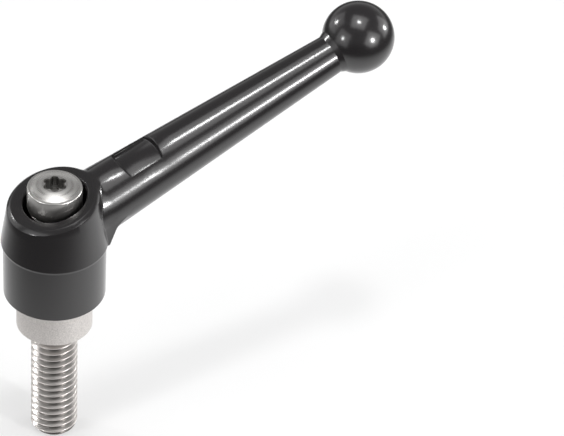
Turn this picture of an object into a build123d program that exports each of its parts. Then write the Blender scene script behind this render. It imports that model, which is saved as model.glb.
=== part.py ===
"""Adjustable clamping lever with an external thread: cast handle, toothed insert, stud, spring and screw.

Millimetres. Origin at the centre of the collar's underside, +Z up the stud's axis, +X along the arm.
"""

import math
import os

from build123d import *

# Stud
thread_d = 6.0
stud_length = 17.43  # below the collar's face
end_bevel = 0.67  # a little under the thread's root
spigot_d = 5.2  # plain end bonded in the insert

# Insert: collar, plain guide in the hub and toothed head
collar_d = 9.8
collar_height = 5.54  # what shows under the hub
collar_edge = 0.15
mouth_depth = 0.3  # of the collar's hole, cleared for the last thread
guide_length = 2.9
tooth_length = 2.2
teeth = 24
tooth_tip_d = 9.2
tooth_depth = 0.5

# Retaining screw
screw_d = 4.0
screw_engage = 3.0
core_wall = 1.0  # left between the two blind holes of the insert
hole_runout = 0.4
tip_bevel = 0.4
head_d = 7.1
head_height = 3.0
crown_height = 0.65
crown_d = 3.5  # flat middle of the crown
crown_edge = 0.12  # bevel at the head's rim
lobe_tip_d = 3.25
lobe_root_d = 2.4
socket_depth = 1.3

# Return spring
spring_room = 6.7
wire_d = 0.7
coils = 4
coil_runs = 12  # straight runs a turn

# Handle: hub
hub_bottom_d = 13.06
skirt_d = 13.26
skirt_height = 5.45  # above the hub's foot
waist_d = 13.04
waist_rise = 0.7  # skirt's top to the waist
shoulder_d = 13.78
shoulder_rise = 2.02  # waist to the parting line, where the hub is widest
hub_draft = 8.2  # degrees, of the upper hub
rim_bevel = 0.4
web_thickness = 1.8
bore_d = 8.15
top_step = 0.08  # hub's top over the arm's top line

# Handle: arm and ball
arm_reach = 45.0  # stud's axis to ball's centre
arm_angle = 16.35  # degrees above level
arm_root_d = 9.14  # on the stud's axis
arm_end_d = 4.81  # at the ball's centre
arm_rise = 15.76  # arm's axis over the collar's face, on the stud's axis
ball_d = 9.39
neck_flare = 0.45
root_round = 0.45

# Handle: gusset under the arm's root
gusset_drop = 0.3  # below the parting line
gusset_d = 14.2  # at its foot
gusset_lean = 20.0  # degrees from upright
gusset_rise = 2.0
gusset_round = 2.0
gusset_flare = 50.0  # degrees from upright, where it enters the arm
gusset_run = 1.8
gusset_trim = 0.13  # sides in from the arm's sides

# Handle: label pocket, left bare
pocket_start = 10.7  # along the arm from the stud's axis
pocket_length = 5.7
pocket_width = 5.1
pocket_depth = 0.35  # at its long edges
pocket_slope = 0.55  # run of each end wall

# Clearances
thread_clear = 0.03
turn_clear = 0.1
tooth_clear = 0.06
seat_clear = 0.05
shank_clear = 0.3
spring_side = 0.2
spring_seat = 0.03

# Heights that follow
hub_foot = collar_height
guide_top = collar_height + guide_length
insert_top = guide_top + tooth_length
screw_tip = insert_top - screw_engage
stud_top = screw_tip - 2 * hole_runout - core_wall
web_under = insert_top + seat_clear
web_top = web_under + web_thickness
head_under = web_top + spring_room
head_rim = head_under + head_height
skirt_top = hub_foot + skirt_height
waist_z = skirt_top + waist_rise
shoulder_z = waist_z + shoulder_rise

# Arm's frame: local Z runs out along the arm, local X points up
lean = math.radians(arm_angle)
arm_length = arm_reach / math.cos(lean)
ball_z = arm_rise + arm_reach * math.tan(lean)
arm_plane = Plane(origin=(0, 0, arm_rise), x_dir=(-math.sin(lean), 0, math.cos(lean)),
                  z_dir=(math.cos(lean), 0, math.sin(lean)))
taper = math.atan((arm_root_d - arm_end_d) / 2 / arm_length)
top_slope = lean - taper
# height of the arm's top line above the stud's axis, and of the hub's top face there
top_line = arm_rise + arm_root_d / 2 * (math.cos(lean) + math.sin(lean) * math.tan(top_slope))
hub_top = top_line + top_step


def arm_radius(along):
    """Radius of the arm's round section, measured along its axis from the stud's axis."""
    return (arm_root_d + (arm_end_d - arm_root_d) * along / arm_length) / 2


def turned(*points):
    """Solid of revolution about Z through points (radius, height)."""
    return revolve(Plane.XZ * make_face(Polyline(*points, close=True)), Axis.Z)


def rod(d, low, high):
    return Pos(0, 0, low) * Cylinder(d / 2, high - low, align=(Align.CENTER, Align.CENTER, Align.MIN))


def tooth_ring(grow):
    """Outline of the insert's teeth, grown outwards all round for the handle's toothed bore."""
    tip, root = tooth_tip_d / 2 + grow, tooth_tip_d / 2 - tooth_depth + grow
    points = []
    step = 360 / teeth
    for i in range(teeth):
        for share, r in ((-0.32, root), (-0.12, tip), (0.12, tip), (0.32, root)):
            # a grown tooth keeps its flank gap on both sides
            side = math.degrees(grow / r) * (1 if share > 0 else -1)
            a = math.radians(i * step + share * step + side)
            points.append((r * math.cos(a), r * math.sin(a)))
    return make_face(Polyline(*points, close=True))


def threaded_stud():
    """Stud at its thread's major diameter, with its end bevel and the plain spigot in the insert."""
    r, spigot, low = thread_d / 2, spigot_d / 2, -stud_length
    return turned((0, low), (r - end_bevel, low), (r, low + end_bevel), (r, 0), (spigot, 0), (spigot, stud_top),
                  (0, stud_top))


def serrated_insert():
    r = collar_d / 2
    body = turned((0, 0), (r - collar_edge, 0), (r, collar_edge), (r, guide_top), (0, guide_top))
    head = Pos(0, 0, guide_top) * extrude(tooth_ring(0), tooth_length)
    body = body + head
    body -= rod(spigot_d + 2 * thread_clear, -1, stud_top + hole_runout)
    body -= rod(thread_d + 2 * thread_clear, -1, mouth_depth)
    body -= rod(screw_d + 2 * thread_clear, screw_tip - hole_runout, insert_top + 1)
    return body


def socket_star():
    """Six-pointed socket outline through its lobe tips and the hollows between them."""
    points = []
    for i in range(6):
        for a, d in ((0, lobe_tip_d), (30, lobe_root_d)):
            turn = math.radians(60 * i + a)
            points.append((d / 2 * math.cos(turn), d / 2 * math.sin(turn)))
    return make_face(Polyline(*points, close=True))


def retaining_screw():
    """Screw with a low conical crown round a flat middle, and a six-lobe socket."""
    r, shank = head_d / 2, screw_d / 2
    top = head_rim + crown_height
    screw = turned((r, head_rim), (r, head_under), (shank, head_under), (shank, screw_tip + tip_bevel),
                   (shank - tip_bevel, screw_tip), (0, screw_tip), (0, top), (crown_d / 2, top),
                   (r - crown_edge, head_rim + crown_edge))
    return screw - Pos(0, 0, top - socket_depth) * extrude(socket_star(), socket_depth + 1)


def return_spring():
    """Compression spring with ground ends: six-sided wire on a coil of short straight runs."""
    low, high = web_top + spring_seat, head_under - spring_seat
    mean = head_d / 2 - spring_side - wire_d / 2
    pitch = (high - low) / coils
    points = []
    for i in range(round(coils * coil_runs) + 1):
        turn = 2 * math.pi * i / coil_runs
        points.append((mean * math.cos(turn), mean * math.sin(turn), low + pitch * i / coil_runs))
    path = Polyline(*points)
    section = Plane(path @ 0, x_dir=(1, 0, 0), z_dir=path % 0) * RegularPolygon(wire_d / 2, 6)
    coil = sweep(section, path=path, transition=Transition.RIGHT)
    return coil & rod(2 * mean + 4 * wire_d, low, high)


def hub_blank():
    """Hub before its top is cut, tall enough for the sloping top face."""
    high = hub_top + shoulder_d
    tip = shoulder_d / 2 - (high - shoulder_z) * math.tan(math.radians(hub_draft))
    blank = turned((0, hub_foot), (hub_bottom_d / 2, hub_foot), (skirt_d / 2, skirt_top), (waist_d / 2, waist_z),
                   (shoulder_d / 2, shoulder_z), (tip, high), (0, high))
    # the seam of its round faces lies away from the arm
    return Rot(0, 0, 180) * blank


def gusset():
    """Flared shoulder under the arm's root, as wide as the arm, which ends in a step on the hub."""
    steep, flare = math.radians(gusset_lean), math.radians(gusset_flare)
    low = Vector(gusset_d / 2, shoulder_z - gusset_drop)
    bend = low + Vector(gusset_rise * math.tan(steep), gusset_rise)

    def turn(angle):
        return bend + Vector(math.cos(steep) - math.cos(angle), math.sin(angle) - math.sin(steep)) * gusset_round

    leave = turn(flare)
    end = leave + Vector(math.sin(flare), math.cos(flare)) * gusset_run
    outline = Polyline((0, end.Y), (0, low.Y), low, bend) + ThreePointArc(bend, turn((steep + flare) / 2), leave)
    outline += Polyline(leave, end, (0, end.Y))
    ring = revolve(Plane.XZ * make_face(outline), Axis.Z)
    inner, outer = arm_radius(0) - gusset_trim, arm_radius(end.X / math.cos(lean)) - gusset_trim
    plan = make_face(Polyline((0, -inner), (end.X, -outer), (end.X, outer), (0, inner), close=True))
    return ring & extrude(plan, end.Y)


def arm_and_ball():
    """Tapered round arm from inside the hub, its flared neck and the ball, turned about the arm's axis."""
    ball = ball_d / 2
    # where the taper runs into the ball
    reach, slope = arm_end_d / 2, math.tan(taper)
    back = (-slope * reach + math.sqrt(ball**2 * (1 + slope**2) - reach**2)) / (1 + slope**2)
    neck = (arm_radius(arm_length - back), arm_length - back)
    far = (0, arm_length + ball)
    outline = Polyline(far, (0, 0), (arm_root_d / 2, 0), neck) + ThreePointArc(neck, (ball, arm_length), far)
    profile = make_face(outline)
    corner = profile.vertices().sort_by_distance(Vector(neck[0], neck[1], 0))[0]
    profile = chamfer(corner, neck_flare)
    return revolve(arm_plane * Plane.XZ * profile, Axis(arm_plane.origin, arm_plane.z_dir))


def pocket():
    """Shallow recess across the arm's top with sloping end walls."""
    half = pocket_width / 2
    middle = arm_radius(pocket_start + pocket_length / 2)
    edge = math.sqrt(middle**2 - half**2)
    floor, high = edge - pocket_depth, middle + 1
    run = pocket_slope / (middle - floor) * (high - floor)
    a, b = pocket_start + pocket_slope, pocket_start + pocket_length - pocket_slope
    side = make_face(Polyline((floor, a), (high, a - run), (high, b + run), (floor, b), close=True))
    tool = extrude(Plane.XZ * side, half, both=True)
    return arm_plane * tool


def top_cutter():
    """Everything over the hub's sloping top face, as far as the arm's root."""
    slope, back, front = math.tan(top_slope), -shoulder_d, shoulder_d / 2 + root_round
    high = hub_top + 2 * shoulder_d
    side = Polyline((back, hub_top + back * slope), (front, hub_top + front * slope), (front, high),
                    (back, high), close=True)
    return extrude(Plane.XZ * make_face(side), shoulder_d, both=True)


def hub_hollow():
    """Guide bore, toothed bore, web hole and the upper bore for spring and head."""
    guide = rod(collar_d + 2 * turn_clear, hub_foot - 1, guide_top + turn_clear)
    toothed = Pos(0, 0, guide_top) * extrude(tooth_ring(tooth_clear), web_under - guide_top)
    web_hole = rod(screw_d + 2 * shank_clear, web_under - 1, web_top + 1)
    well = rod(bore_d, web_top, hub_top + shoulder_d)
    return guide + toothed + web_hole + well


def root_seam(blank):
    """Edges where the arm and its gusset leave the hub's drafted side."""
    middle = (shoulder_z + hub_top) / 2
    r = shoulder_d / 2 - (middle - shoulder_z) * math.tan(math.radians(hub_draft))
    side = blank.faces().sort_by_distance(Vector(-r, 0, middle))[0]
    return side.edges().filter_by(lambda edge: edge.geom_type not in (GeomType.CIRCLE, GeomType.LINE))


def lever_handle():
    blank = hub_blank() + arm_and_ball() + gusset()
    blank = fillet(root_seam(blank), root_round)
    blank -= top_cutter()
    # the rim of the top face, in two halves up to the arm
    rim = blank.edges().filter_by(GeomType.ELLIPSE).sort_by(SortBy.LENGTH)[-2:]
    blank = chamfer(rim, rim_bevel)
    blank -= pocket()
    return blank - hub_hollow()


if __name__ == "__main__":
    os.makedirs("parts", exist_ok=True)
    for make in (threaded_stud, serrated_insert, retaining_screw, return_spring, lever_handle):
        export_step(make(), f"parts/{make.__name__}.step")
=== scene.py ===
import math

import bmesh
import bpy
from bpy.props import FloatProperty, FloatVectorProperty, IntProperty, PointerProperty
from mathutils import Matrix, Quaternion, Vector


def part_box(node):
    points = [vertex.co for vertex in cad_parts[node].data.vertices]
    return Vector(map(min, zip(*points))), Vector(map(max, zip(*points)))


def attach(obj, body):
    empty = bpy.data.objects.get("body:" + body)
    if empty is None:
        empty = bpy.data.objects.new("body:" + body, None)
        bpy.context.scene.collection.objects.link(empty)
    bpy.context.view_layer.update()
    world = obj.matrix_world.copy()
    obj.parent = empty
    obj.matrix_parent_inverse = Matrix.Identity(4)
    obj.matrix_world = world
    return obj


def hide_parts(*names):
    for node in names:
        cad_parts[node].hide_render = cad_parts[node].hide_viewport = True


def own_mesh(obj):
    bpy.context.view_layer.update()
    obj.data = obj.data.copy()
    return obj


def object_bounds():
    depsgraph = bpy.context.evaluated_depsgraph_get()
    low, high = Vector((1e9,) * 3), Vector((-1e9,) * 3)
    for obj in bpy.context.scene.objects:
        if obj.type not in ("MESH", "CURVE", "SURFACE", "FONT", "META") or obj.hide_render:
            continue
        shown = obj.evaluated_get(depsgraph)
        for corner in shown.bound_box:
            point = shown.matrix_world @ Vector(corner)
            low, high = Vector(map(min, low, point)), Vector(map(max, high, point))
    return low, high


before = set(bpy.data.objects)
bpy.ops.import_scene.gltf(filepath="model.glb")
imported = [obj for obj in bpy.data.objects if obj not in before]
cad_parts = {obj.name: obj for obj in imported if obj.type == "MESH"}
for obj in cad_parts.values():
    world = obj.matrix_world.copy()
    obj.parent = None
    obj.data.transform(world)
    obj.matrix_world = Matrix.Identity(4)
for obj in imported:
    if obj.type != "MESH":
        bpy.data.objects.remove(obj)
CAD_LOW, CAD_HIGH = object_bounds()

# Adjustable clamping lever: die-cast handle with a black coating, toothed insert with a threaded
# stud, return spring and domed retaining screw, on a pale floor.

bl_info = {
    "name": "Clamping Lever",
    "version": (1, 0, 0),
    "blender": (4, 5, 0),
    "location": "View3D > Sidebar > Lever",
    "description": "Models and finishes an adjustable clamping lever over its fixed solids",
    "category": "Mesh",
}

MM = 0.001
MERGE = 0.0005 * MM  # closer vertices are one
MERGE_WIDE = 0.002 * MM  # the same in copies of the fixed solids and at the ends of coils
PAST = 1 * MM  # how far a cutting tool reaches past what it cuts


# ---------------------------------------------------------------- sizes and colours


def length(name, description, millimetres):
    """A length that a user may change, kept in metres."""
    return FloatProperty(name=name, description=description, default=millimetres * MM, min=0.0,
                         unit="LENGTH", precision=5)


def linear(code):
    """sRGB hex colour as linear RGB."""
    values = [int(code[i:i + 2], 16) / 255 for i in (1, 3, 5)]
    return tuple(v / 12.92 if v <= 0.04045 else ((v + 0.055) / 1.055) ** 2.4 for v in values)


def colour(name, description, code):
    """A colour that a user may change, given as sRGB hex."""
    return FloatVectorProperty(name=name, description=description, default=linear(code), size=3,
                               min=0.0, max=1.0, subtype="COLOR")


class LeverSizes(bpy.types.PropertyGroup):
    """Sizes of the pieces that are modelled here, over the fixed solids."""

    skirt_height: length("Skirt height", "Hub's foot to the ledge at the parting line", 7.87)
    skirt_foot: length("Skirt foot", "Diameter of the hub's foot", 13.1)
    skirt_top: length("Skirt top", "Diameter of the skirt under the ledge", 13.26)
    skirt_edge: length("Skirt edge", "Bevel of the hub's foot", 0.1)
    skirt_trim: length("Skirt trim", "Depth to which the solid's own skirt gives way to the plain one", 0.3)
    arm_angle: FloatProperty(name="Arm angle", description="Rise of the arm over level", subtype="ANGLE",
                             default=math.radians(16.35))
    arm_rise: length("Arm rise", "Height of the arm's axis at the stud's axis", 15.76)
    pocket_start: length("Pocket start", "Start of the label pocket along the arm", 10.7)
    pocket_length: length("Pocket length", "Length of the label pocket", 5.7)
    pocket_width: length("Pocket width", "Width of the label pocket", 5.1)
    floor_radius: length("Pocket floor radius", "Rounding of the pocket's floor", 5.5)
    floor_height: length("Pocket floor", "Height of the floor's long edges over the arm's axis", 2.48)
    pocket_edge: length("Pocket edge", "Rounding of the pocket's edges", 0.1)
    bore: length("Bore", "Diameter of the hub's upper bore", 8.15)
    bore_round: length("Bore round", "Rounding of the bore's upper edge", 0.36)
    rim_round: length("Rim round", "Rounding of both edges of the rim's bevel", 0.06)
    thread_pitch: length("Thread pitch", "Rise of the stud's thread in one turn", 1.0)
    thread_bevel: length("End bevel", "Bevel at the stud's free end", 0.95)
    thread_steps: IntProperty(name="Thread steps", description="Facets in one turn of thread", default=72, min=24)
    spigot: length("Spigot", "Diameter of the stud's end inside the insert", 5.2)
    head_edge: length("Head edge", "Rounding of the screw head's rim", 0.2)
    head_side: length("Head side", "Height of the screw head's side", 3.0)
    crown_height: length("Crown height", "Rise of the screw head's crown", 0.65)
    crown_flat: length("Crown flat", "Diameter of the crown's flat middle", 3.0)
    socket_tip: length("Socket tip", "Width across the six-lobe socket", 3.25)
    socket_root: length("Socket root", "Width across the hollows between the lobes", 2.4)
    socket_depth: length("Socket depth", "Depth of the socket under the crown", 1.3)
    shank: length("Screw shank", "Diameter of the screw's shank", 4.0)
    shank_tip: length("Shank tip", "Bevel of the shank's end", 0.4)
    wire: length("Spring wire", "Diameter of the spring's wire", 0.7)
    spring_coils: IntProperty(name="Spring coils", description="Turns of the return spring", default=4, min=2)


class LeverColours(bpy.types.PropertyGroup):
    """Base colours of the finishes."""

    coating: colour("Coating", "Black epoxy powder coating of the handle", "#1d1b1c")
    collar: colour("Collar", "Blasted stainless steel of the insert", "#d2cecb")
    thread: colour("Thread", "Rolled bright steel of the stud", "#b4b0ad")
    screw: colour("Screw", "Turned stainless steel of the retaining screw", "#dcdad7")
    spring: colour("Spring", "Drawn spring steel", "#8d8c8a")
    floor: colour("Floor", "Plain pale floor", "#b8b8b8")


def sizes():
    return bpy.context.scene.lever_sizes


def colours():
    return bpy.context.scene.lever_colours


# ---------------------------------------------------------------- modelling steps


def deselect():
    if bpy.context.object and bpy.context.object.mode != "OBJECT":
        bpy.ops.object.mode_set(mode="OBJECT")
    bpy.ops.object.select_all(action="DESELECT")


def pick(obj):
    deselect()
    obj.select_set(True)
    bpy.context.view_layer.objects.active = obj


def edit(obj):
    """Edit mode on one object, with nothing selected."""
    pick(obj)
    bpy.ops.object.mode_set(mode="EDIT")
    bpy.ops.mesh.select_mode(type="VERT")
    bpy.ops.mesh.select_all(action="DESELECT")


def select_edges(test):
    """In edit mode, selects the edges that pass the test."""
    bm = bmesh.from_edit_mesh(bpy.context.object.data)
    for edge in bm.edges:
        if test(edge):
            edge.select_set(True)
    bmesh.update_edit_mesh(bpy.context.object.data)


def close_ends():
    """In edit mode, merges doubles and closes each open rim with a fan to the middle of that rim."""
    bpy.ops.mesh.select_all(action="SELECT")
    bpy.ops.mesh.remove_doubles(threshold=MERGE_WIDE)
    heights = [v.co.z for v in bmesh.from_edit_mesh(bpy.context.object.data).verts]
    middle = (min(heights) + max(heights)) / 2
    for upper in (False, True):
        bpy.ops.mesh.select_all(action="DESELECT")
        select_edges(lambda e: e.is_boundary and (e.verts[0].co.z > middle) == upper)
        bpy.ops.mesh.extrude_edges_move()
        bpy.ops.mesh.merge(type="CENTER")


def round_edges(test, width, segments):
    """In edit mode, rounds the edges that pass the test."""
    bpy.ops.mesh.select_mode(type="EDGE")
    bpy.ops.mesh.select_all(action="DESELECT")
    select_edges(lambda e: len(e.link_faces) == 2 and test(e))
    bpy.ops.mesh.bevel(offset=width, segments=segments, affect="EDGES", clamp_overlap=False)


def tidy_shell(merge=MERGE):
    """In edit mode, merges doubles and turns all faces outwards."""
    bpy.ops.mesh.select_all(action="SELECT")
    bpy.ops.mesh.remove_doubles(threshold=merge)
    bpy.ops.mesh.normals_make_consistent(inside=False)
    bpy.ops.object.mode_set(mode="OBJECT")


def apply(obj, name):
    pick(obj)
    bpy.ops.object.modifier_apply(modifier=name)


def fix_place(obj):
    """Takes the object's place and turn into its mesh."""
    pick(obj)
    bpy.ops.object.transform_apply(location=True, rotation=True, scale=True)


def drawn_line(name, points):
    """A chain of edges through points (radius, height), drawn in the XZ plane by extruding one vertex."""
    bpy.ops.mesh.primitive_plane_add(size=MM, location=(0, 0, 0))
    line = bpy.context.object
    line.name = name
    edit(line)
    bpy.ops.mesh.select_all(action="SELECT")
    bpy.ops.mesh.merge(type="CENTER")
    here = Vector((0, 0, 0))
    for i, (r, z) in enumerate(points):
        there = Vector((r, 0, z))
        step = there - here
        if i == 0:
            bpy.ops.transform.translate(value=step)
        else:
            bpy.ops.mesh.extrude_vertices_move(TRANSFORM_OT_translate={"value": step})
        here = there
    bpy.ops.object.mode_set(mode="OBJECT")
    return line


def spun(name, points, steps=96):
    """Closed shell of revolution about Z through points (radius, height)."""
    shell = drawn_line(name, points)
    edit(shell)
    bpy.ops.mesh.select_all(action="SELECT")
    bpy.ops.mesh.spin(steps=steps, angle=2 * math.pi, center=(0, 0, 0), axis=(0, 0, 1))
    tidy_shell()
    return shell


def wound(profile, pitch, turns, steps):
    """Winds a profile into a closed coil about Z."""
    wind = profile.modifiers.new("wind", "SCREW")
    wind.screw_offset, wind.iterations = pitch, turns
    wind.steps = wind.render_steps = steps
    apply(profile, wind.name)
    edit(profile)
    close_ends()
    tidy_shell()


def arc(centre, radius, start, end, steps):
    """Points (radius, height) on an arc, with its angles in degrees."""
    turns = [math.radians(start + (end - start) * i / steps) for i in range(steps + 1)]
    return [(centre[0] + radius * math.cos(t), centre[1] + radius * math.sin(t)) for t in turns]


def cut(obj, tool, operation="DIFFERENCE"):
    """Cuts obj with a tool and removes the tool."""
    modifier = obj.modifiers.new("cut", "BOOLEAN")
    modifier.operation = operation
    modifier.object = tool
    modifier.solver = "MANIFOLD"
    apply(obj, modifier.name)
    bpy.data.objects.remove(tool)


def smooth(obj, degrees):
    pick(obj)
    bpy.ops.object.shade_smooth_by_angle(angle=math.radians(degrees))


def copy_of(node, name):
    """A merged copy of a fixed solid's mesh, as a piece of its own."""
    pick(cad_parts[node])
    bpy.ops.object.duplicate()
    piece = bpy.context.object
    piece.name = name
    piece.parent = None
    for key in [k for k in piece.keys() if k.startswith("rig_")]:
        del piece[key]
    edit(piece)
    tidy_shell(MERGE_WIDE)
    bpy.ops.mesh.customdata_custom_splitnormals_clear()
    return piece


def finish(piece, material, body, replaced):
    """Gives a piece its material and its body, and hides the solid that it stands for."""
    piece.data.materials.clear()
    piece.data.materials.append(material)
    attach(piece, body)
    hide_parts(replaced)


# ---------------------------------------------------------------- materials


def node(tree, kind, links=(), **settings):
    """Adds a shader node, sets its sockets and properties, and links (own input, other output)."""
    made = tree.nodes.new(kind)
    for key, value in settings.items():
        name = key.replace("_", " ")
        socket = next((s for s in made.inputs if s.name.lower() == name), None)
        if socket is not None:
            socket.default_value = value
        else:
            setattr(made, key, value)
    for target, source in links:
        tree.links.new(source, made.inputs[target])
    return made


def new_material(name):
    material = bpy.data.materials.new(name)
    material.use_nodes = True
    material.node_tree.nodes.clear()
    return material, material.node_tree


def output(tree, shader):
    node(tree, "ShaderNodeOutputMaterial", [("Surface", shader.outputs[0])])


def noise(tree, place, across, **settings):
    """Noise with features about so many metres across."""
    made = node(tree, "ShaderNodeTexNoise", [("Vector", place.outputs["Object"])], scale=1 / across, **settings)
    return made.outputs[0]


def spread(tree, value, **settings):
    """Maps a value from one range to another."""
    return node(tree, "ShaderNodeMapRange", [("Value", value)], **settings).outputs[0]


def two_tones(tree, value, first, second):
    """Blends from a colour at value 0 to a colour at value 1."""
    tone = node(tree, "ShaderNodeValToRGB", [("Fac", value)])
    for element, colour in zip(tone.color_ramp.elements, (first, second)):
        element.color = (*[min(1, c) for c in colour], 1)
    return tone


def times(colour, share):
    return [c * share for c in colour]


def from_axis(tree, place):
    """Distance from the stud's axis, and height, in metres."""
    parts = node(tree, "ShaderNodeSeparateXYZ", [("Vector", place.outputs["Object"])])
    level = node(tree, "ShaderNodeCombineXYZ", [("X", parts.outputs["X"]), ("Y", parts.outputs["Y"])])
    radius = node(tree, "ShaderNodeVectorMath", [(0, level.outputs[0])], operation="LENGTH")
    return radius.outputs["Value"], parts.outputs["Z"]


def coated_casting():
    """Die-cast zinc with black epoxy powder coating: a dark, half-gloss skin with a very fine orange peel."""
    material, tree = new_material("Powder coated zinc casting")
    place = node(tree, "ShaderNodeTexCoord")
    # the powder flows out to a peel about 0.8 mm across
    peel = noise(tree, place, 0.8 * MM, detail=2.0, roughness=0.5)
    # grains that stay in the skin, drawn at 0.12 mm so that they show
    grain = noise(tree, place, 0.12 * MM, detail=1.0)
    gloss = spread(tree, grain, to_min=0.16, to_max=0.24)
    relief = node(tree, "ShaderNodeBump", [("Height", peel)], strength=0.06, distance=0.05 * MM)
    fine = node(tree, "ShaderNodeBump", [("Height", grain), ("Normal", relief.outputs[0])],
                strength=0.05, distance=0.02 * MM)
    shader = node(tree, "ShaderNodeBsdfPrincipled", [("Roughness", gloss), ("Normal", fine.outputs[0])],
                  base_color=(*colours().coating, 1), specular_ior_level=0.8)
    output(tree, shader)
    return material


def blasted_steel():
    """Stainless steel blasted with glass beads: matt, pale, with fine dark and light speckles."""
    material, tree = new_material("Bead blasted stainless steel")
    place = node(tree, "ShaderNodeTexCoord")
    speckle = noise(tree, place, 0.16 * MM, detail=2.0, roughness=0.7)
    tone = two_tones(tree, speckle, times(colours().collar, 0.8), times(colours().collar, 1.15))
    tone.color_ramp.elements[0].position, tone.color_ramp.elements[1].position = 0.3, 0.7
    relief = node(tree, "ShaderNodeBump", [("Height", speckle)], strength=0.5, distance=0.03 * MM)
    shader = node(tree, "ShaderNodeBsdfPrincipled",
                  [("Base Color", tone.outputs[0]), ("Normal", relief.outputs[0])],
                  metallic=1.0, roughness=0.55)
    output(tree, shader)
    return material


def rolled_steel(root, crest):
    """Bright rolled steel: the dies leave smooth crests; the colour is painted darker towards the roots as shade and
    lighter at the crests as highlight.
    """
    material, tree = new_material("Rolled bright steel")
    place = node(tree, "ShaderNodeTexCoord")
    radius, _ = from_axis(tree, place)
    # painted shade and highlight: darker at the thread's roots, lighter at its crests, by distance from the axis
    painted_crest_light = spread(tree, radius, from_min=root, from_max=crest)
    tone = two_tones(tree, painted_crest_light, times(colours().thread, 0.4), times(colours().thread, 1.25))
    # streaks that the dies leave, 0.25 mm apart
    streak = noise(tree, place, 0.25 * MM, detail=3.0)
    gloss = spread(tree, streak, to_min=0.26, to_max=0.4)
    relief = node(tree, "ShaderNodeBump", [("Height", streak)], strength=0.15, distance=0.02 * MM)
    shader = node(tree, "ShaderNodeBsdfPrincipled",
                  [("Base Color", tone.outputs[0]), ("Roughness", gloss), ("Normal", relief.outputs[0])],
                  metallic=1.0)
    output(tree, shader)
    return material


def turned_steel(top, reach):
    """Turned stainless steel: fine rings round the axis, left by the cutting edge.

    Nearer to the axis than reach and under the height top, on the wall of the punched socket, the colour is painted
    darker as shade.
    """
    material, tree = new_material("Turned stainless steel")
    place = node(tree, "ShaderNodeTexCoord")
    radius, height = from_axis(tree, place)
    near = spread(tree, radius, from_min=reach, from_max=reach + 0.05 * MM, to_min=1.0, to_max=0.0)
    deep = spread(tree, height, from_min=top - 0.35 * MM, from_max=top - 0.05 * MM, to_min=1.0, to_max=0.0)
    # painted shade: the socket's wall is darkened, as the shade that falls in the recess
    punched = node(tree, "ShaderNodeMath", [(0, near), (1, deep)], operation="MULTIPLY")
    tone = two_tones(tree, punched.outputs[0], colours().screw, times(colours().screw, 0.4))
    # rings 0.754 mm apart, coarser than real ones so that they show; at scale 1 the texture turns 20 radians a unit
    rings = node(tree, "ShaderNodeTexWave", [("Vector", place.outputs["Object"])], wave_type="RINGS",
                 rings_direction="Z", scale=2 * math.pi / 20 / (0.754 * MM), distortion=0.4, detail=1.0)
    gloss = spread(tree, rings.outputs[1], to_min=0.26, to_max=0.36)
    relief = node(tree, "ShaderNodeBump", [("Height", rings.outputs[1])], strength=0.06, distance=0.02 * MM)
    shader = node(tree, "ShaderNodeBsdfPrincipled",
                  [("Base Color", tone.outputs[0]), ("Roughness", gloss), ("Normal", relief.outputs[0])],
                  metallic=1.0)
    output(tree, shader)
    return material


def drawn_wire():
    """Drawn spring steel: dark, smooth wire with faint lines."""
    material, tree = new_material("Drawn spring steel")
    place = node(tree, "ShaderNodeTexCoord")
    # lines that the drawing die leaves, 0.2 mm apart
    lines = noise(tree, place, 0.2 * MM, detail=2.0)
    gloss = spread(tree, lines, to_min=0.25, to_max=0.4)
    shader = node(tree, "ShaderNodeBsdfPrincipled", [("Roughness", gloss)],
                  base_color=(*colours().spring, 1), metallic=1.0)
    output(tree, shader)
    return material


POOL_MIDDLE = (0.05, 0.015, 0)  # middle of the pool of light painted on the floor, in metres
POOL_BRIGHT, POOL_DARK = 0.05, 0.13  # distances from it at which the painted light starts and ends to fade, in metres
POOL_REST = 0.1  # share of the painted light that is left further out
LAMPLIGHT = 0.55  # share of the pool's white that a shadow can take away
MIRRORED = 0.6  # strength of the pool's painted glow in glossy reflections


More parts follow.
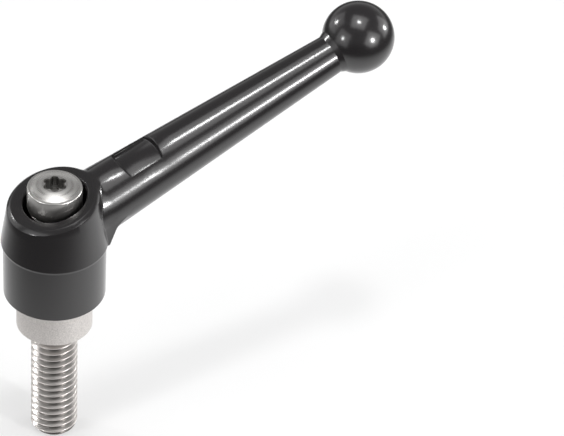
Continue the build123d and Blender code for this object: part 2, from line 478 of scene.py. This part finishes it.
def pale_floor():
    """Seamless studio paper: plain white to the eye, and it still takes a shadow; reflections show a painted glow
    round the object, and further out the paper is painted black as shade.
    """
    material, tree = new_material("Studio paper")
    path = node(tree, "ShaderNodeLightPath")
    place = node(tree, "ShaderNodeTexCoord")
    away = node(tree, "ShaderNodeVectorMath", [(0, place.outputs["Object"])], operation="DISTANCE")
    away.inputs[1].default_value = POOL_MIDDLE
    # a pool of painted light round the object fades further out, where the paper is painted black as the shade of a
    # dark room; only reflections and bounced light show it
    painted_pool = spread(tree, away.outputs["Value"], interpolation_type="SMOOTHSTEP", from_min=POOL_BRIGHT,
                   from_max=POOL_DARK, to_min=1.0, to_max=POOL_REST)
    paper = node(tree, "ShaderNodeBsdfDiffuse", color=(*colours().floor, 1))
    painted_dark_paper = node(tree, "ShaderNodeBsdfDiffuse", color=(0, 0, 0, 1))
    lit = node(tree, "ShaderNodeMixShader", [(0, painted_pool), (1, painted_dark_paper.outputs[0]), (2, paper.outputs[0])])
    # to the eye all of it is white, and only the shadow on the painted pool is darker
    eye = node(tree, "ShaderNodeMath", [(0, painted_pool)], operation="MULTIPLY_ADD")
    eye.inputs[1].default_value, eye.inputs[2].default_value = -LAMPLIGHT, 1.0
    seen = node(tree, "ShaderNodeMath", [(0, path.outputs["Is Camera Ray"]), (1, eye.outputs[0])],
                operation="MULTIPLY")
    # painted glow: the pool shines in glossy reflections, though it is no lamp
    mirrored = node(tree, "ShaderNodeMath", [(0, path.outputs["Is Glossy Ray"]), (1, painted_pool)],
                    operation="MULTIPLY")
    total = node(tree, "ShaderNodeMath", [(0, mirrored.outputs[0]), (2, seen.outputs[0])],
                 operation="MULTIPLY_ADD")
    total.inputs[1].default_value = MIRRORED
    glow = node(tree, "ShaderNodeEmission", [("Strength", total.outputs[0])])
    both = node(tree, "ShaderNodeAddShader", [(0, lit.outputs[0]), (1, glow.outputs[0])])
    output(tree, both)
    return material


# ---------------------------------------------------------------- pieces

# facets in a full turn, and across the pocket's floor from its middle
SKIRT_STEPS, HEAD_STEPS, LOBE_STEPS, COIL_STEPS, WIRE_SIDES, FLOOR_STEPS = 160, 128, 96, 32, 14, 8

RIM_DEPTH = 0.6 * MM  # the rim's edges lie no deeper than this under the hub's top
NEAR = 0.1 * MM  # how near to the bore or the pocket their edges are looked for

# one pitch of the thread: rounded root, flank, rounded crest, flank, as shares of the pitch (out of the root, along)
THREAD_DEPTH = 0.6134
THREAD_PROFILE = [(0.05, 0.0), (0.0, 0.07), (0.0, 0.18), (0.05, 0.25), (0.565, 0.52), (0.6, 0.55),
                  (THREAD_DEPTH, 0.59), (THREAD_DEPTH, 0.64), (0.6, 0.68), (0.565, 0.71), (0.05, 1.0)]

CROWN_BOW = 1.35  # 1 makes the screw's crown a cone, more makes it round
LOBE_BOW = 0.8  # 1 makes the socket's outline a plain wave, less makes its lobes broader
COIL_START = 0.987  # turns from the coil's start to its ground end, a little off a whole turn


def middle_of(edge):
    return (edge.verts[0].co + edge.verts[1].co) / 2


class LEVER_OT_handle(bpy.types.Operator):
    """Smooth, coated handle with its hub, arm and ball."""

    bl_idname = "lever.handle"
    bl_label = "Coated handle"

    def pocket_floor(self):
        """Crowned bar that gives the label pocket a gently rounded floor, along the arm."""
        s = sizes()
        half, radius = s.pocket_width / 2 + 0.02 * MM, s.floor_radius
        drop = math.sqrt(radius**2 - half**2)
        across = [half * i / FLOOR_STEPS for i in range(-FLOOR_STEPS, FLOOR_STEPS + 1)]
        crown = [(y, s.floor_height + math.sqrt(radius**2 - y**2) - drop) for y in across]
        outline = [(-half, s.floor_height - PAST), *crown, (half, s.floor_height - PAST)]
        bar = drawn_line("pocket_floor", [*outline, outline[0]])
        edit(bar)
        bpy.ops.mesh.select_all(action="SELECT")
        bpy.ops.mesh.remove_doubles(threshold=MERGE)
        bpy.ops.mesh.edge_face_add()
        bpy.ops.mesh.extrude_region_move(TRANSFORM_OT_translate={"value": (0, s.pocket_length, 0)})
        bpy.ops.mesh.select_all(action="SELECT")
        bpy.ops.transform.translate(value=(0, s.pocket_start, 0))
        tidy_shell()
        # from along +Y to along the arm, which rises from the hub
        bar.rotation_mode = "QUATERNION"
        bar.rotation_quaternion = Quaternion((0, 1, 0), -s.arm_angle) @ Quaternion((0, 0, 1), -math.pi / 2)
        bar.location = (0, 0, s.arm_rise)
        fix_place(bar)
        return bar

    def plain_skirt(self, piece):
        """Gives the hub a plain skirt up to the ledge at the parting line."""
        s = sizes()
        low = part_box("lever_handle")[0]
        ledge, out = low.z + s.skirt_height, PAST - low.x
        foot, top, edge = s.skirt_foot / 2, s.skirt_top / 2, s.skirt_edge
        inside = foot - s.skirt_trim
        trim = [(inside, low.z - PAST), (inside, ledge), (out, ledge), (out, low.z - PAST)]
        cut(piece, spun("trim", [*trim, trim[0]], SKIRT_STEPS))
        sleeve = [(inside - PAST, low.z), (foot - edge, low.z), (foot, low.z + edge), (top, ledge),
                  (top, ledge + edge), (inside - PAST, ledge + edge)]
        cut(piece, spun("sleeve", [*sleeve, sleeve[0]], SKIRT_STEPS), "UNION")

    def round_all(self, piece):
        """Rounds the bore's mouth, the pocket's edges and the hub's rim."""
        s = sizes()
        edit(piece)
        bpy.ops.mesh.select_all(action="SELECT")
        bpy.ops.mesh.dissolve_limited(angle_limit=math.radians(0.005))
        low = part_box("lever_handle")[0]
        hub, ledge = -low.x, low.z + s.skirt_height
        # the hub's sloping top: the largest face of the hub that faces up over the ledge gives its plane
        faces = bmesh.from_edit_mesh(piece.data).faces
        over = [f for f in faces if f.normal.z > 0.9 and f.calc_center_median().z > ledge + PAST]
        land = max((f for f in over if f.calc_center_median().x < hub), key=lambda f: f.calc_area())
        up, corner = land.normal.copy(), land.verts[0].co.copy()
        along = Vector((math.cos(s.arm_angle), 0, math.sin(s.arm_angle)))
        above = Vector((-math.sin(s.arm_angle), 0, math.cos(s.arm_angle)))

        def near_top(edge):
            middle = middle_of(edge)
            return (middle.x < hub and (middle - corner).dot(up) > -RIM_DEPTH
                    and edge.calc_face_angle() > math.radians(30))

        def in_bore(edge):
            return near_top(edge) and all(math.hypot(*v.co.xy) < s.bore / 2 + NEAR for v in edge.verts)

        def on_rim(edge):
            return near_top(edge) and math.hypot(*edge.verts[0].co.xy) > s.bore / 2 + 10 * NEAR

        def in_pocket(edge):
            middle = middle_of(edge) - Vector((0, 0, s.arm_rise))
            return (s.pocket_start - 2 * NEAR < middle.dot(along) < s.pocket_start + s.pocket_length + 2 * NEAR
                    and middle.dot(above) > s.floor_height - NEAR
                    and abs(middle.y) < s.pocket_width / 2 + NEAR
                    and edge.calc_face_angle() > math.radians(25))

        round_edges(in_bore, s.bore_round, 4)
        round_edges(in_pocket, s.pocket_edge, 3)
        round_edges(on_rim, s.rim_round, 2)
        bpy.ops.object.mode_set(mode="OBJECT")

    def execute(self, context):
        piece = copy_of("lever_handle", "coated_handle")
        self.plain_skirt(piece)
        cut(piece, self.pocket_floor(), "UNION")
        self.round_all(piece)
        smooth(piece, 14)
        finish(piece, coated_casting(), "handle", "lever_handle")
        return {"FINISHED"}


class LEVER_OT_insert(bpy.types.Operator):
    """Blasted insert with its collar and ring of teeth."""

    bl_idname = "lever.insert"
    bl_label = "Toothed insert"

    def execute(self, context):
        piece = copy_of("serrated_insert", "blasted_insert")
        smooth(piece, 25)
        finish(piece, blasted_steel(), "clamping_insert", "serrated_insert")
        return {"FINISHED"}


class LEVER_OT_stud(bpy.types.Operator):
    """Threaded stud with a full metric thread and a bevelled end."""

    bl_idname = "lever.stud"
    bl_label = "Threaded stud"

    def execute(self, context):
        s = sizes()
        low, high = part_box("threaded_stud")
        crest, pitch = high.x, s.thread_pitch
        root = crest - THREAD_DEPTH * pitch
        # the coil runs past both ends of the thread, which are then cut to length
        start = low.z - 2 * pitch
        turns = math.ceil(-start / pitch) + 2
        thread = drawn_line("stud_thread", [(root + out * pitch, start + along * pitch)
                                            for out, along in THREAD_PROFILE])
        wound(thread, pitch, turns, s.thread_steps)
        bevel, wide = s.thread_bevel, crest + 0.5 * PAST
        cut(thread, spun("blank", [(0, low.z), (crest - bevel, low.z), (wide, low.z + bevel + wide - crest),
                                   (wide, 0), (0, 0)]), "INTERSECT")
        spigot = s.spigot / 2
        cut(thread, spun("spigot", [(0, -pitch), (spigot, -pitch), (spigot, high.z), (0, high.z)]), "UNION")
        smooth(thread, 35)
        finish(thread, rolled_steel(root, crest), "clamping_insert", "threaded_stud")
        return {"FINISHED"}


class LEVER_OT_screw(bpy.types.Operator):
    """Retaining screw with its domed head and six-lobe socket."""

    bl_idname = "lever.screw"
    bl_label = "Retaining screw"

    def socket(self, top):
        """Star-shaped tool for the socket, which reaches past the crown at the height top."""
        s = sizes()
        bpy.ops.mesh.primitive_circle_add(vertices=LOBE_STEPS, radius=s.socket_tip / 2, fill_type="NGON",
                                          location=(0, 0, top + PAST))
        star = bpy.context.object
        edit(star)
        for v in bmesh.from_edit_mesh(star.data).verts:
            turn = math.atan2(v.co.y, v.co.x)
            lobe = (0.5 + 0.5 * math.cos(6 * turn)) ** LOBE_BOW
            reach = s.socket_root / 2 + (s.socket_tip - s.socket_root) / 2 * lobe
            v.co.x, v.co.y = reach * math.cos(turn), reach * math.sin(turn)
        bmesh.update_edit_mesh(star.data)
        bpy.ops.mesh.select_all(action="SELECT")
        bpy.ops.mesh.extrude_region_move(TRANSFORM_OT_translate={"value": (0, 0, -s.socket_depth - PAST)})
        tidy_shell()
        fix_place(star)
        return star

    def execute(self, context):
        s = sizes()
        low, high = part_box("retaining_screw")
        r, edge, shank, tip = high.x, s.head_edge, s.shank / 2, s.shank_tip
        rim = high.z - s.crown_height
        under = rim - s.head_side
        flat = s.crown_flat / 2
        # the crown falls away from its flat middle as a slightly rounded cone
        shares = [i / 14 for i in range(14, -1, -1)]
        crown = [(flat + (r - flat) * t, high.z - s.crown_height * t**CROWN_BOW) for t in shares]
        crown = [p for p in crown if p[0] < r - edge * 0.9]
        outline = [(0, low.z), (shank - tip, low.z), (shank, low.z + tip), (shank, under), (r - edge / 2, under),
                   *arc((r - edge / 2, under + edge / 2), edge / 2, -90, 0, 3),
                   *arc((r - edge, rim - edge * 0.2), edge, 0, 55, 5), *crown, (0, high.z)]
        screw = spun("domed_screw", outline, HEAD_STEPS)
        cut(screw, self.socket(high.z))
        smooth(screw, 35)
        finish(screw, turned_steel(high.z, s.socket_tip / 2), "clamping_insert", "retaining_screw")
        return {"FINISHED"}


class LEVER_OT_spring(bpy.types.Operator):
    """Return spring of round wire, ground flat at both ends."""

    bl_idname = "lever.spring"
    bl_label = "Return spring"

    def execute(self, context):
        s = sizes()
        low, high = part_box("return_spring")
        height = high.z - low.z
        pitch = height / s.spring_coils
        bpy.ops.mesh.primitive_circle_add(vertices=WIRE_SIDES, radius=s.wire / 2, rotation=(math.pi / 2, 0, 0),
                                          location=(high.x - s.wire / 2, 0, low.z - COIL_START * pitch))
        coil = bpy.context.object
        coil.name = "spring_coil"
        fix_place(coil)
        wound(coil, pitch, s.spring_coils + 2, COIL_STEPS)
        wide = high.x + s.wire
        cut(coil, spun("blank", [(0, low.z), (wide, low.z), (wide, high.z), (0, high.z)], COIL_STEPS), "INTERSECT")
        smooth(coil, 40)
        finish(coil, drawn_wire(), "spring", "return_spring")
        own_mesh(coil)
        return {"FINISHED"}


# ---------------------------------------------------------------- stage

# The camera looks at the stud's axis from this side and height in degrees, and this far off in metres.
CAMERA_AZIMUTH, CAMERA_ELEVATION, CAMERA_DISTANCE = -30.11, 40.0, 1.2
CAMERA_ROLL = 0.15  # degrees
SENSOR = 36 * MM
VIEW_WIDTH = 72.51 * MM  # width that the view takes in at the stud's axis
VIEW_SHAPE = 109 / 141  # height of the view over its width
# where the origin lies in the view, as shares of half its width and height from its middle
ORIGIN_RIGHT, ORIGIN_UP = -0.8071, -0.4757

# Studio lamps, each a small bright bulb in a square softbox: place from the object's middle in metres,
# turn of the box about that direction in degrees, and strengths of bulb and box
LAMPS = {
    "lamp_back_left": ((-0.492, 0.752, 0.431), 20, 0.6, 0.4),
    "lamp_over": ((0.018, -0.071, 1.018), 30, 0.7, 0.85),
    "lamp_right": ((0.991, -0.193, 0.186), 0, 1.0, 0.7),
    "lamp_left": ((-0.919, -0.077, 0.345), 0, 0.5, 0.5),
    "lamp_front": ((0.313, -0.909, 0.319), 45, 1.7, 0.95),
}
BULB_RADIUS, BULB_WATTS = 0.06, 2.6
BOX_WIDTH, BOX_WATTS = 0.8, 3.6

BACKDROP = (0.50, 0.865, 0)  # direction of the bright backdrop
FLOOR_WIDTH = 3.0  # metres


def place_camera():
    """Long-lens camera whose axis is turned a little, so that the origin lies off the view's middle."""
    a, e = math.radians(CAMERA_AZIMUTH), math.radians(CAMERA_ELEVATION)
    back = Vector((math.sin(a) * math.cos(e), -math.cos(a) * math.cos(e), math.sin(e)))
    focal = CAMERA_DISTANCE * SENSOR / VIEW_WIDTH
    half = SENSOR / 2 / focal
    ray = Vector((ORIGIN_RIGHT * half, ORIGIN_UP * half * VIEW_SHAPE, -1)).normalized()
    level = (-back).to_track_quat("-Z", "Y")
    turn = Vector((0, 0, -1)).rotation_difference(ray)
    roll = Quaternion((0, 0, 1), math.radians(CAMERA_ROLL))
    data = bpy.data.cameras.new("camera")
    data.sensor_width = SENSOR / MM
    data.lens = focal / MM
    data.clip_start, data.clip_end = 0.05, 20
    camera = bpy.data.objects.new("camera", data)
    bpy.context.scene.collection.objects.link(camera)
    camera.rotation_mode = "QUATERNION"
    camera.location = back * CAMERA_DISTANCE
    camera.rotation_quaternion = level @ roll @ turn.inverted()
    bpy.context.scene.camera = camera


def place_lamp(name, shape, size, watts, place, turn, middle):
    data = bpy.data.lights.new(name, "AREA")
    data.shape, data.size, data.energy = shape, size, watts
    lamp = bpy.data.objects.new(name, data)
    bpy.context.scene.collection.objects.link(lamp)
    lamp.location = middle + place
    lamp.rotation_mode = "QUATERNION"
    lamp.rotation_quaternion = place.to_track_quat("Z", "Y") @ Quaternion((0, 0, 1), math.radians(turn))


def place_lamps(middle):
    for name, (place, turn, bulb, box) in LAMPS.items():
        place_lamp(name + "_bulb", "DISK", 2 * BULB_RADIUS, BULB_WATTS * bulb, Vector(place), turn, middle)
        place_lamp(name + "_box", "SQUARE", BOX_WIDTH, BOX_WATTS * box, Vector(place), turn, middle)


def studio_world():
    """Plain studio air: white to the eye; as light and in reflections a pale backdrop and a dark near side."""
    world = bpy.data.worlds.new("studio")
    bpy.context.scene.world = world
    world.use_nodes = True
    tree = world.node_tree
    tree.nodes.clear()
    path = node(tree, "ShaderNodeLightPath")
    place = node(tree, "ShaderNodeTexCoord")
    split = node(tree, "ShaderNodeSeparateXYZ", [("Vector", place.outputs["Generated"])])
    beyond = node(tree, "ShaderNodeVectorMath", [(0, place.outputs["Generated"])], operation="DOT_PRODUCT")
    beyond.inputs[1].default_value = BACKDROP
    # brighter towards the backdrop, and even overhead
    depth = spread(tree, beyond.outputs["Value"], from_min=-0.3, from_max=0.5, to_min=0.12, to_max=0.65)
    height = spread(tree, split.outputs["Z"], from_min=0.05, from_max=0.4)
    level = node(tree, "ShaderNodeMix", [("Factor", height), ("A", depth)], b=0.25)
    air = node(tree, "ShaderNodeBackground", [("Strength", level.outputs[0])], color=(1, 1, 1, 1))
    white = node(tree, "ShaderNodeBackground", color=(1, 1, 1, 1), strength=1.0)
    both = node(tree, "ShaderNodeMixShader",
                [(0, path.outputs["Is Camera Ray"]), (1, air.outputs[0]), (2, white.outputs[0])])
    node(tree, "ShaderNodeOutputWorld", [("Surface", both.outputs[0])])


class LEVER_OT_stage(bpy.types.Operator):
    """Pale floor, studio lamps and camera."""

    bl_idname = "lever.stage"
    bl_label = "Stage"

    def execute(self, context):
        bpy.context.scene.view_settings.view_transform = "Standard"
        deselect()
        bpy.ops.mesh.primitive_plane_add(size=FLOOR_WIDTH, location=(0, 0, CAD_LOW.z))
        floor = bpy.context.object
        floor.name = "floor"
        floor.data.materials.append(pale_floor())
        place_lamps((CAD_LOW + CAD_HIGH) / 2)
        studio_world()
        place_camera()
        return {"FINISHED"}


PIECES = [LEVER_OT_handle, LEVER_OT_insert, LEVER_OT_stud, LEVER_OT_screw, LEVER_OT_spring]


class LEVER_PT_panel(bpy.types.Panel):
    """Lists the pieces, their sizes and colours."""

    bl_idname = "LEVER_PT_panel"
    bl_label = "Clamping Lever"
    bl_space_type = "VIEW_3D"
    bl_region_type = "UI"
    bl_category = "Lever"

    def draw(self, context):
        for group in (context.scene.lever_sizes, context.scene.lever_colours):
            column = self.layout.column()
            for name in group.bl_rna.properties.keys():
                if name not in ("rna_type", "name"):
                    column.prop(group, name)
        for piece in (*PIECES, LEVER_OT_stage):
            self.layout.operator(piece.bl_idname)


CLASSES = [LeverSizes, LeverColours, *PIECES, LEVER_OT_stage, LEVER_PT_panel]


def register():
    for cls in CLASSES:
        bpy.utils.register_class(cls)
    bpy.types.Scene.lever_sizes = PointerProperty(type=LeverSizes)
    bpy.types.Scene.lever_colours = PointerProperty(type=LeverColours)


def unregister():
    del bpy.types.Scene.lever_colours
    del bpy.types.Scene.lever_sizes
    for cls in reversed(CLASSES):
        bpy.utils.unregister_class(cls)


def main():
    register()
    bpy.ops.lever.stage()
    for make in (bpy.ops.lever.handle, bpy.ops.lever.insert, bpy.ops.lever.stud, bpy.ops.lever.screw,
                 bpy.ops.lever.spring):
        make()


if __name__ == "__main__":
    main()
